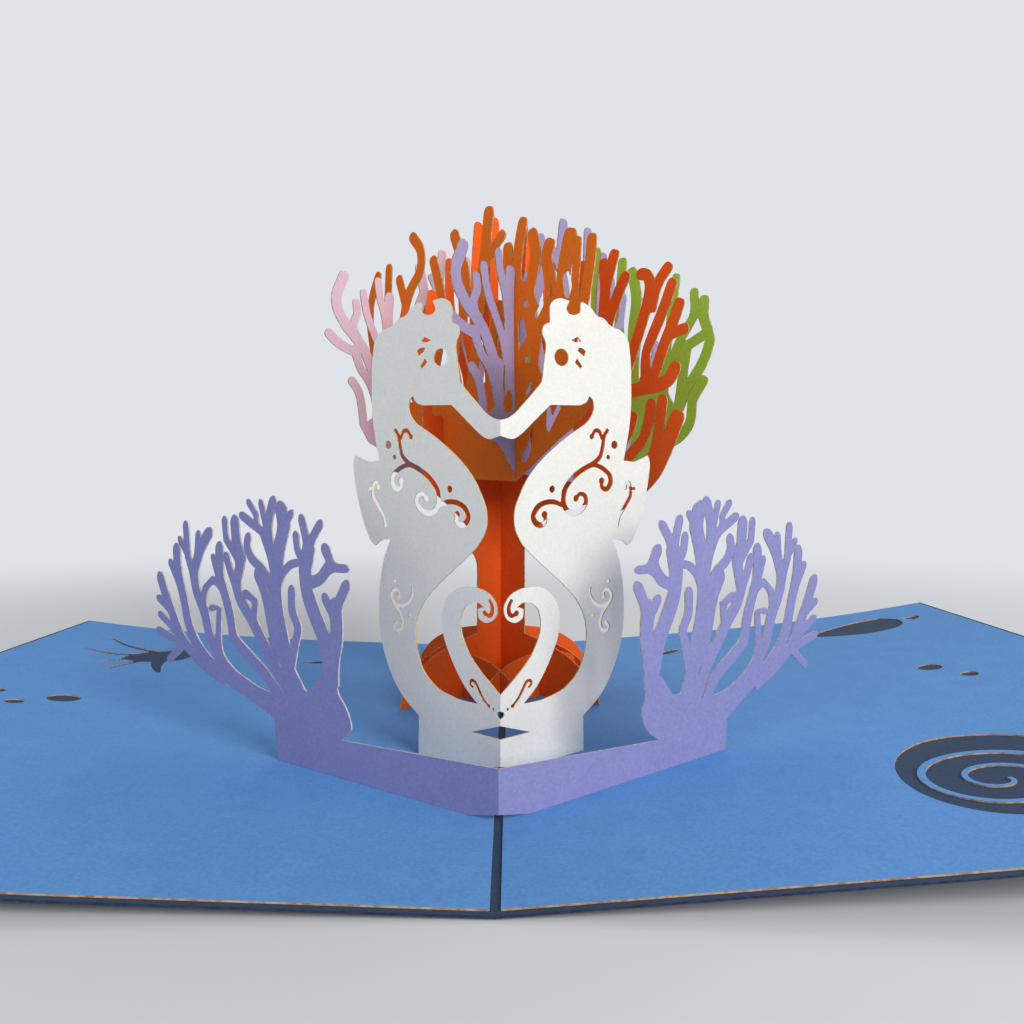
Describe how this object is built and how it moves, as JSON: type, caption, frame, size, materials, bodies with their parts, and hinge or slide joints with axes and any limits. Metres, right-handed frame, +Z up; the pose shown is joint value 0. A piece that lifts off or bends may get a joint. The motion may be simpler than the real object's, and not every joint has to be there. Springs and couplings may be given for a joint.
{
  "type": "pop up card",
  "caption": "Greeting card held open, with seahorses nose to nose and coral strips that stand up on the fold in front of a coral tree of crossing slotted sheets.",
  "frame": {"origin": "underside of the cover on its gutter fold, halfway along the fold", "axes": "+X to the right across the pages, +Y along the gutter away from the reader, +Z up from the pages"},
  "size_m": [0.2987, 0.2, 0.1406],
  "materials": {
    "navy_card": "matte",
    "blue_card": "matte",
    "lilac_card": "matte",
    "white_card": "matte",
    "orange_card": "matte",
    "lavender_card": "matte",
    "pink_card": "matte",
    "green_card": "matte"
  },
  "bodies": {
    "root": {"cover": "navy_card", "left_liner": "blue_card", "right_liner": "blue_card", "front_coral": "lilac_card", "seahorses": "white_card", "trunk_sheet_a": "orange_card", "trunk_sheet_b": "orange_card", "root_a_front": "orange_card", "root_a_back": "orange_card", "root_b_front": "orange_card", "root_b_back": "orange_card", "lavender_sheet": "lavender_card", "pink_sheet": "pink_card", "rust_sheet": "orange_card", "green_sheet": "green_card"}
  },
  "joints": []
}
